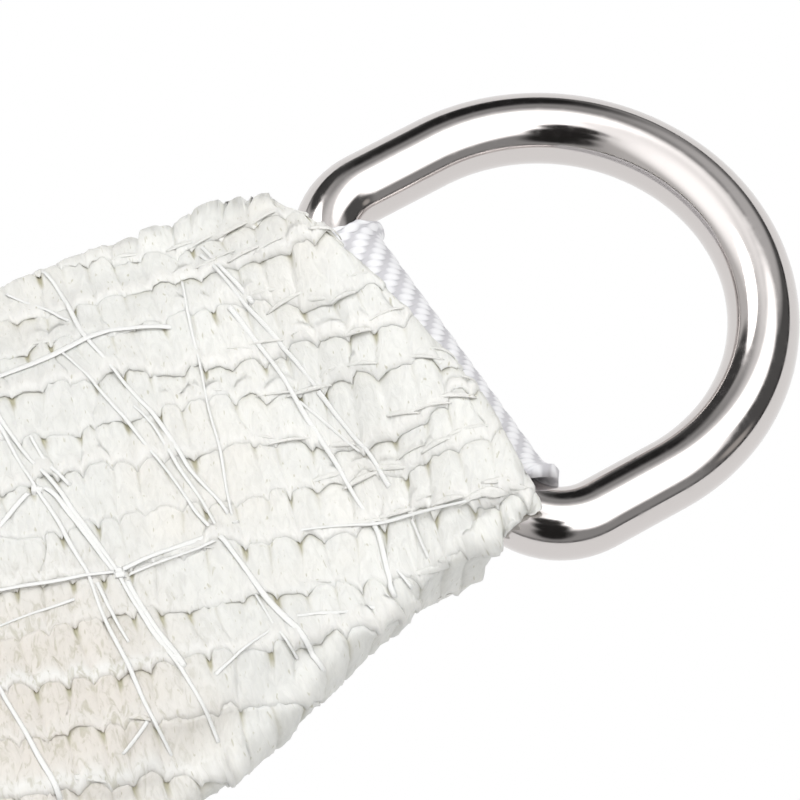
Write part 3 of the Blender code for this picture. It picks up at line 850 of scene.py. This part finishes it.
# Long stitches in four double seams across the corner, and loose ones from seam to seam. Each
# runs from needle hole to needle hole and over the stitches between: its width, then its
# places on the face, all in mm in the bar's frame. The last few are knots, short and thick.
STRANDS = (
    (0.42, ((-20.6, -8.3), (-16.0, -8.1), (-11.6, -7.9))),
    (0.40, ((-20.0, -8.8), (-11.8, -8.3), (-8.9, -8.1), (-5.5, -7.7), (-2.2, -7.6))),
    (0.42, ((-3.0, -7.8), (0.3, -7.6), (4.4, -7.3), (8.8, -7.5))),
    (0.50, ((-14.0, -9.7), (-8.4, -9.3), (-4.3, -9.4), (0.7, -9.7), (7.5, -10.1), (10.3, -10.2),
            (12.4, -11.0), (16.4, -12.4))),
    (0.30, ((11.0, -7.4), (12.0, -7.6), (15.6, -8.2))),
    (0.32, ((12.6, -11.0), (13.2, -11.0), (16.4, -10.5))),
    (0.42, ((-27.0, -20.6), (-24.9, -20.1), (-17.8, -21.0), (-12.9, -20.8), (-8.5, -20.1),
            (-2.6, -20.2), (0.9, -19.8), (3.2, -19.7))),
    (0.34, ((-18.0, -23.6), (-13.5, -22.7), (-9.7, -22.4), (-3.4, -21.8), (0.9, -21.9),
            (3.8, -21.3))),
    (0.32, ((-10.6, -21.2), (-7.5, -20.7), (-0.6, -20.9), (3.6, -21.1))),
    (0.58, ((3.2, -21.3), (6.0, -21.2), (10.5, -21.0), (12.8, -20.7), (14.3, -20.4),
            (18.4, -20.1))),
    (0.28, ((9.4, -21.6), (12.8, -21.8), (16.6, -21.4))),
    (0.44, ((-22.0, -30.4), (-14.6, -30.9), (-9.9, -30.7), (-6.3, -30.1), (2.4, -29.9),
            (8.4, -30.3), (12.2, -29.9), (19.0, -30.4))),
    (0.40, ((-15.8, -31.2), (-10.1, -31.5), (-6.9, -31.7), (-3.9, -31.6), (1.0, -32.0),
            (4.4, -32.7), (11.0, -33.6), (14.9, -34.1), (18.2, -34.3))),
    (0.34, ((1.6, -31.7), (2.1, -31.8), (8.8, -32.4))),
    (0.34, ((-12.6, -29.6), (-9.0, -29.7), (-5.8, -29.1))),
    (0.50, ((-7.9, -31.3), (-6.3, -30.5), (-2.3, -30.4), (2.8, -30.1))),
    (0.55, ((2.8, -29.6), (8.4, -29.9), (13.0, -29.6))),
    (0.50, ((-18.0, -42.0), (-6.2, -42.5), (0.0, -42.4), (6.0, -43.0), (8.5, -43.2),
            (14.8, -43.4), (17.0, -43.9))),
    (0.55, ((-18.4, -30.6), (-18.1, -27.8), (-17.5, -24.2), (-17.3, -21.0), (-16.9, -19.0),
            (-15.1, -15.8), (-14.0, -14.2))),
    (0.27, ((-18.4, -11.4), (-11.1, -14.3), (-6.9, -15.8), (-2.6, -17.3), (3.5, -19.7))),
    (0.45, ((-7.7, -31.7), (-7.2, -33.4), (-5.9, -36.8))),
    (0.36, ((-1.6, -39.9), (0.3, -35.0), (1.2, -32.4), (2.7, -29.6))),
    (0.52, ((2.4, -30.1), (2.8, -26.7), (3.2, -23.7), (3.7, -21.1))),
    (0.32, ((2.9, -29.8), (3.7, -26.0), (4.1, -23.4), (4.2, -21.2))),
    (0.28, ((1.4, -41.2), (1.9, -37.3), (2.7, -33.4))),
    (0.30, ((6.8, -16.2), (9.5, -10.8), (11.2, -7.6), (14.0, -2.9))),
    (0.32, ((13.0, -20.4), (15.6, -14.8), (16.8, -10.4))),
    (0.30, ((14.3, -28.6), (13.1, -21.4))),
    (0.28, ((16.0, -38.2), (14.4, -34.0))),
    (0.32, ((-26.2, -24.4), (-22.8, -22.4), (-19.4, -21.0))),
    (0.24, ((-3.4, -9.4), (0.8, -8.6), (4.8, -7.5))),
    (0.24, ((-26.0, -31.4), (-20.0, -33.4), (-13.6, -33.1))),
    (0.70, ((-8.5, -31.3), (-7.6, -31.7), (-6.8, -32.3))),
    (0.70, ((-8.1, -32.4), (-7.5, -31.6), (-6.7, -30.8))),
    (0.75, ((1.5, -29.6), (2.5, -29.9), (3.6, -30.0))),
    (0.70, ((2.2, -30.8), (2.6, -29.8), (3.2, -28.9))),
    (0.80, ((2.9, -21.0), (3.7, -21.2), (4.6, -21.3))),
    (0.70, ((3.3, -22.1), (3.7, -21.2), (4.0, -20.2))),
    (0.60, ((2.9, -19.4), (3.6, -19.7), (4.3, -19.6))),
)
STRAND_STEPS = 110
STRAND_AROUND = 8
STRAND_RISE = 0.00010
STRAND_FLATNESS = 0.24          # thickness over width
WANDER, WANDER_LENGTH = 0.00006, 0.0013
THICKENING, THICKENING_LENGTH = 0.16, 0.0021
SPRING_LENGTH = 0.0006          # thread is too stiff to follow what is shorter than this
SPRING_GIVE = 0.00004           # and it sinks no further than this into the loops
DIVE_LENGTH = 0.0008
DIVE_DEPTH = 0.00055

# The loops' height in mm under a thread: the lowest, what a crest adds, what a strong one adds
# to that, and where it rises and falls on the way from one row's edge to the next
LOOPS_LOW = 0.50
CREST_RISE = 0.16
STRONG_CREST_RISE = 0.12
CREST_ON_WAY = ((0.60, 0.78, 0.92, 1.0), (0.0, 1.0, 0.8, 0.0))


def loops_height(across, along):
    """About how high the knit's loops stand above the cloth's middle at a flat place: lowest
    where they come out from the row before and highest on their own row's crest."""
    off = across * OFF_CHAIN[0] + along * OFF_CHAIN[1]
    t = across * ALONG_CHAIN[0] + along * ALONG_CHAIN[1]
    lines = row_line(ROWS[:, None, None], t[None])
    after = np.clip((lines <= off).sum(axis=0), 1, len(ROWS) - 1)
    ahead = np.take_along_axis(lines, after[None], 0)[0]
    behind = np.take_along_axis(lines, after[None] - 1, 0)[0]
    way = np.clip((off - behind) / (ahead - behind), 0, 1)
    rise = CREST_RISE + STRONG_CREST_RISE * (ROWS[after] % 2)
    return (LOOPS_LOW + rise * np.interp(way, *CREST_ON_WAY)) / 1000


def strands():
    """Each thread is a flattened strand carried along its line of places, which its own
    stiffness rounds and lifts off the knit's hollows. It wanders slightly, swells and thins, and
    dives into the cloth at both ends."""
    rng = np.random.default_rng(12)
    s = np.linspace(0, 1, STRAND_STEPS)
    lines, lengths = [], []
    for _, places in STRANDS:
        corner = np.array(places) / 1000
        run = np.cumsum(np.linalg.norm(np.diff(corner, axis=0, prepend=corner[:1]), axis=-1))
        at = s * run[-1]
        lines.append(np.stack([np.interp(at, run, column) for column in corner.T], axis=-1))
        lengths.append(run[-1])
    line, length = np.array(lines), np.array(lengths)[:, None]
    apart = (s[None, :, None] - s[None, None, :]) * length[..., None] / SPRING_LENGTH
    share = np.exp(-apart ** 2)
    share = share / share.sum(axis=-1, keepdims=True)
    line = share @ line
    ahead = unit(np.gradient(line, axis=1))
    sideways = np.stack([-ahead[..., 1], ahead[..., 0]], axis=-1)
    phase = rng.uniform(0, 6, (2, len(STRANDS), 1))
    line = line + (WANDER * np.sin(s * length / WANDER_LENGTH + phase[0]))[..., None] * sideways
    from_end = np.minimum(s, 1 - s) * length / DIVE_LENGTH
    width = np.array([width for width, _ in STRANDS])[:, None] / 1000
    swell = (width / 2 * (0.45 + 0.40 * smooth(from_end))
             * (1 + THICKENING * np.sin(s * length / THICKENING_LENGTH + phase[1])))
    under = loops_height(line[..., 0], line[..., 1])
    under = np.maximum((share @ under[..., None])[..., 0], under - SPRING_GIVE)
    angle = np.arange(STRAND_AROUND) * 2 * np.pi / STRAND_AROUND
    out = (swell[..., None] * np.cos(angle))[..., None] * sideways[:, :, None]
    flat = line[:, :, None, :] + out
    lift = under + STRAND_RISE - DIVE_DEPTH * (1 - smooth(from_end))
    lift = lift[..., None] + STRAND_FLATNESS * swell[..., None] * np.sin(angle)
    points = skin(flat[..., 0], flat[..., 1], lift)
    uv = np.stack(np.broadcast_arrays(angle / np.pi, (s * length * 1000)[..., None]), axis=-1)
    quads = tube_faces(len(STRANDS), STRAND_STEPS, STRAND_AROUND)
    return add_piece("sewing_thread", points, quads, thread_material(), ("strand", uv))


# -------- webbing

WEB_COLUMNS = 197
WRAP_FINE_STEPS = 70
BEND_STEPS = 30
STRAIGHT_STEPS = 40
WEB_BODY_SHARE = 0.85           # of the thickness; the raised yarns make up the rest
TWILL_STEEPNESS = 1.8           # how sharply a yarn dives under the next
TWILL_SHIFT = 0.1               # it floats a little less than half of the way


def webbing_loop():
    """The webbing's middle surface, lower tail, wrap and upper tail, raised and sunk along its
    normal by a two-up two-down twill, and then given its thickness. Past the bar's straight
    stretch the wrap's front and back lie on arcs about the centre of the ring's corner."""
    x = np.linspace(-WEB_WIDTH / 2, WEB_WIDTH / 2, WEB_COLUMNS)[None, :]
    past = np.clip(np.abs(x) - BAR_HALF, 0.0, None)
    inner = RING_CORNER_R - np.sqrt((RING_CORNER_R - WRAP_R) ** 2 - past ** 2)
    outer = RING_CORNER_R - np.sqrt((RING_CORNER_R + WRAP_R) ** 2 - past ** 2)
    rise = (inner + outer) / 2
    wrap_y = (inner - outer) / 2

    def tail(bend_back, wrap_end_z, tail_z):
        bend = np.linspace(0, bend_back, BEND_STEPS)[1:]
        straight = np.linspace(bend_back, WEB_TAIL_BACK, STRAIGHT_STEPS)[1:]
        back = np.concatenate([bend, straight])[:, None]
        y = rise * (1 - smooth(back / bend_back)) - back
        z = tail_height(back, wrap_end_z, tail_z, bend_back) + 0 * x
        return np.stack([x + 0 * y, y, z], axis=-1)

    a = np.linspace(-np.pi / 2, np.pi / 2, WRAP_FINE_STEPS)[:, None]
    wrap = np.stack([x + 0 * a, rise + wrap_y * np.cos(a), BAR_Z + WRAP_R * np.sin(a) + 0 * x],
                    axis=-1)
    lower = tail(LOWER_TAIL_RISE_BACK, BAR_Z - WRAP_R, LOWER_TAIL_Z)[::-1]
    upper = tail(UPPER_TAIL_DROP_BACK, BAR_Z + WRAP_R, UPPER_TAIL_Z)
    points = np.concatenate([lower, wrap, upper])
    side = np.gradient(points, axis=1)
    ahead = np.gradient(points, axis=0)
    normal = unit(np.cross(side, ahead))
    run = np.linalg.norm(np.diff(points, axis=0), axis=-1)
    length = np.concatenate([np.zeros((1, WEB_COLUMNS)), np.cumsum(run, axis=0)])
    yarn = x / WARP_PITCH + 0 * length
    number = np.floor(yarn)
    across_yarn = np.cos(np.pi * (yarn - number - 0.5))
    float_wave = np.sin(2 * np.pi * (length / (4 * WEFT_PITCH) - number / 4))
    raised = np.tanh(TWILL_STEEPNESS * (float_wave - TWILL_SHIFT))
    height = WEAVE_RELIEF * (0.7 * raised + 0.6 * across_yarn ** 0.5 - 0.4)
    points = points - normal * height[..., None]
    # how grey each place is painted, as the shade where the yarn sinks under the next and between
    # yarns
    low = np.clip(0.55 - 0.6 * raised + 0.25 * (1 - across_yarn), 0, 1)
    uv = np.stack([yarn * WARP_PITCH * 1000, length * 1000], axis=-1)
    loop = add_piece("woven_webbing_loop", points, grid_faces(*points.shape[:2]),
                     webbing_material(), ("weave", uv), {"painted_shade": low})
    thick = loop.modifiers.new("thickness", "SOLIDIFY")
    thick.thickness = WEB_T * WEB_BODY_SHARE
    thick.offset = 0.0
    return loop


# -------- ring

RING_AROUND = 40
CORNER_POINTS = 18
BOW_POINTS = 110
BAR_POINTS = 22
LEG_POINTS = 10


def ring_line():
    """Straight bar, rounded corners, short straight legs and a half-circle bow, all flat: the
    middle line of the wire, closed, with its points evenly close."""
    corner = np.linspace(-np.pi / 2, 0, CORNER_POINTS)
    bow = np.linspace(0, np.pi, BOW_POINTS)
    bar = np.linspace(-BAR_HALF, BAR_HALF, BAR_POINTS)[1:-1]
    leg = np.linspace(RING_CORNER_R, RING_REACH - BOW_R, LEG_POINTS)[1:-1]
    x = np.concatenate([bar, BAR_HALF + RING_CORNER_R * np.cos(corner), np.full(len(leg), BOW_R),
                        BOW_R * np.cos(bow), np.full(len(leg), -BOW_R),
                        -BAR_HALF - RING_CORNER_R * np.cos(corner[::-1])])
    y = np.concatenate([np.zeros(len(bar)), RING_CORNER_R + RING_CORNER_R * np.sin(corner), leg,
                        RING_REACH - BOW_R + BOW_R * np.sin(bow), leg[::-1],
                        RING_CORNER_R + RING_CORNER_R * np.sin(corner[::-1])])
    return np.stack([x, y], axis=-1)


def ring():
    """A circle of the wire's radius carried round the middle line, then tilted about the bar
    so that the bow rests on the surface."""
    line = ring_line()
    along = unit(np.roll(line, -1, axis=0) - np.roll(line, 1, axis=0))
    outwards = np.stack([along[:, 1], -along[:, 0]], axis=-1)
    a = np.arange(RING_AROUND) * 2 * np.pi / RING_AROUND
    flat = line[:, None, :] + WIRE_R * np.cos(a)[None, :, None] * outwards[:, None, :]
    height = np.broadcast_to(WIRE_R * np.sin(a), flat.shape[:2])
    y = flat[..., 1] * np.cos(RING_TILT) + height * np.sin(RING_TILT)
    z = -flat[..., 1] * np.sin(RING_TILT) + height * np.cos(RING_TILT) + BAR_Z
    points = np.stack([flat[..., 0], y, z], axis=-1)
    quads = tube_faces(1, len(line), RING_AROUND, closed=True)
    return add_piece("polished_d_ring", points, quads, steel_material())


# -------- studio

CAMERA_FROM_BAR = (0.1611, -0.10355, 0.3675)
CAMERA_LOOKS = (-0.3916, 0.2478, -0.8861)
CAMERA_LENS = 225.0
SENSOR_WIDTH = 36.0
TABLE_SIZE = 6.0
TABLE_Z = -0.0001
TABLE_GLOW = 1.0

# What hangs round the table, as soft round patches of the room: degrees from straight up
# towards +X and towards +Y, degrees to where the patch is full and where it ends, brightness
# and how much warmer than grey it is. Later patches cover earlier ones.
ROOM_BASE = 0.34
ROOM = (
    (-8, 2, 10, 36, 1.5, 0.00),         # bright ceiling that joins the softboxes
    (-30, -60, 40, 75, 0.66, 0.01),     # white wall in front, on the left
    (-16, -34, 6, 42, 1.7, 0.00),       # the light it takes from the softboxes
    (20, 75, 25, 55, 0.10, 0.00),       # unlit back of the room
    (-22, 55, 8, 22, 0.60, 0.00),       # strip of light curtain in it
    (55, 52, 2, 10, 0.45, 0.05),        # reflector on a stand
    (-62, 34, 10, 22, 0.02, 0.00),      # black flag on the left
    (-72, 2, 12, 20, 0.06, 0.00),       # its lower half
    (2, 27, 14, 26, 3.2, 0.00),         # large softbox, its back half
    (30, 11, 14, 32, 3.2, 0.00),        # its right half
    (-44, -13, 11, 16, 4.5, 0.00),      # round softbox on the left
    (52, -34, 11, 20, 0.02, 0.03),      # black stand
    (35, -23, 10, 17, 0.02, 0.03),      # its boom
    (20, -14, 7, 12, 0.03, 0.03),       # the camera's hood
)
# The room's foot is darker: from the height at which that share of its light is left to the
# height at which all of it is
FOOT_HEIGHTS = (0.02, 0.15)
FOOT_LIGHT = 0.25


def towards(x_degrees, y_degrees):
    """The direction that leans so many degrees from straight up, towards +X and +Y."""
    lean = np.radians(np.hypot(x_degrees, y_degrees))
    turn = np.arctan2(y_degrees, x_degrees)
    return np.array([np.sin(lean) * np.cos(turn), np.sin(lean) * np.sin(turn), np.cos(lean)])


def room():
    """The room as a world of soft patches. Each patch is full within its inner angle of its
    own direction and gone at its outer one."""
    world = bpy.data.worlds.new("studio_room")
    world.use_nodes = True
    direction = node(world, "TexCoord", {}, "Generated")
    colour = (ROOM_BASE, ROOM_BASE, ROOM_BASE, 1.0)
    for x, y, full, ends, brightness, warmth in ROOM:
        facing = node(world, "VectorMath", {0: direction, 1: towards(x, y).tolist()}, "Value",
                      operation="DOT_PRODUCT")
        share = node(world, "MapRange", {"Value": facing, "From Min": np.cos(np.radians(ends)),
                                         "From Max": np.cos(np.radians(full))},
                     interpolation_type="SMOOTHSTEP")
        patch = (brightness * (1 + warmth), brightness, brightness * (1 - warmth), 1.0)
        colour = node(world, "Mix", {SHARE: share, UNDER: colour, OVER: patch}, **COLOURS)
    height = node(world, "SeparateXYZ", {"Vector": direction}, "Z")
    foot = node(world, "MapRange", {"Value": height, "From Min": FOOT_HEIGHTS[0],
                                    "From Max": FOOT_HEIGHTS[1], "To Min": FOOT_LIGHT})
    colour = node(world, "Mix", {SHARE: 1.0, UNDER: colour, OVER: foot}, **COLOURS,
                  blend_type="MULTIPLY")
    feed(world.node_tree, world.node_tree.nodes["Background"], {"Color": colour})
    bpy.context.scene.world = world


def studio():
    """A white table that glows from below and so takes no shadow, in the room."""
    glow = new_material("white_light_table")
    principled(glow, Base_Color=(0.0, 0.0, 0.0, 1.0), Roughness=0.9, Specular_IOR_Level=0.0,
               Emission_Color=(1.0, 1.0, 1.0, 1.0), Emission_Strength=TABLE_GLOW)
    bpy.ops.mesh.primitive_plane_add(size=TABLE_SIZE, location=(0, 0, TABLE_Z))
    table = bpy.context.object
    table.name = "light_table"
    table.data.materials.append(glow)
    room()
    view = bpy.context.scene.view_settings
    view.view_transform = "Standard"
    view.look = "None"


def photo_camera():
    lens = bpy.data.cameras.new("photo_camera")
    lens.lens = CAMERA_LENS
    lens.sensor_width = SENSOR_WIDTH
    camera = bpy.data.objects.new("photo_camera", lens)
    camera.location = BAR_PLACE + np.array(CAMERA_FROM_BAR)
    camera.rotation_mode = "QUATERNION"
    camera.rotation_quaternion = Vector(CAMERA_LOOKS).to_track_quat("-Z", "Y")
    bpy.context.scene.collection.objects.link(camera)
    bpy.context.scene.camera = camera


photo_camera()
studio()
tape = knitted_tape_material("knitted_polyethylene_tape", through=0.25)
tight_tape = knitted_tape_material("tight_polyethylene_tape", through=0.0)
ground = build_ground()
knit = Knit(seed=3)
knitted = [knit_rows("knit_rows_left", knit, outer_limits, 1, -15, -5, tape),
           knit_rows("knit_rows_middle", knit, outer_limits, 1, -4, 4, tape),
           knit_rows("knit_rows_right", knit, outer_limits, 1, 5, 21, tape),
           knit_rows("knit_rows_under", knit, inner_limits, -1, -8, 21, tape),
           leaf_stitches("knit_leaf_stitches", knit, outer_limits, 1, 5, tight_tape)]
thread = strands()
webbing = webbing_loop()
d_ring = ring()
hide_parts("sail_cloth")
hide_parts("webbing_loop")
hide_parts("d_ring")
